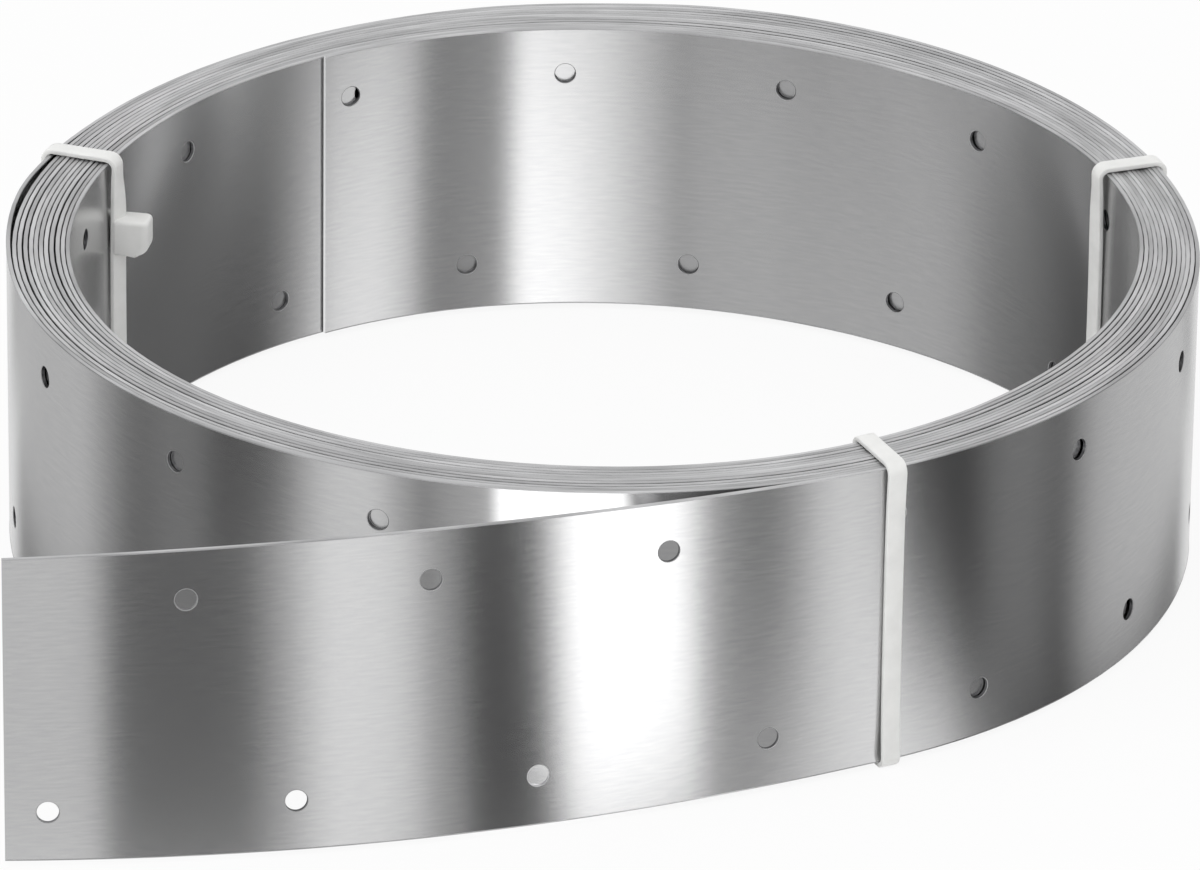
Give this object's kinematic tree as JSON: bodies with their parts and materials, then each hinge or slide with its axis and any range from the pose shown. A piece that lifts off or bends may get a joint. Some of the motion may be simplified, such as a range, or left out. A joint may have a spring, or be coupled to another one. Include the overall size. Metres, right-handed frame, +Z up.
{
  "type": "perforated steel strap coil",
  "caption": "Coil of wide perforated steel strap with staggered round holes, wound on edge, its outer end lifted off as a tail, held by white cable ties.",
  "frame": {"origin": "on the floor, under the middle of the whole part's box; the coil's axis is upright through (-0.19, 21.04) mm", "axes": "+Z up along the coil's axis; +Y is the part's longest extent, and the free tail lies on the -Y side and points to -X"},
  "size_m": [0.2914, 0.334, 0.0792],
  "materials": {
    "steel": "cold-rolled strip, brushed along its length, satin",
    "nylon": "natural nylon, slightly translucent"
  },
  "bodies": {
    "root": {"steel_strap": "steel", "cable_tie_left": "nylon", "cable_tie_right": "nylon", "cable_tie_front": "nylon"}
  },
  "joints": []
}
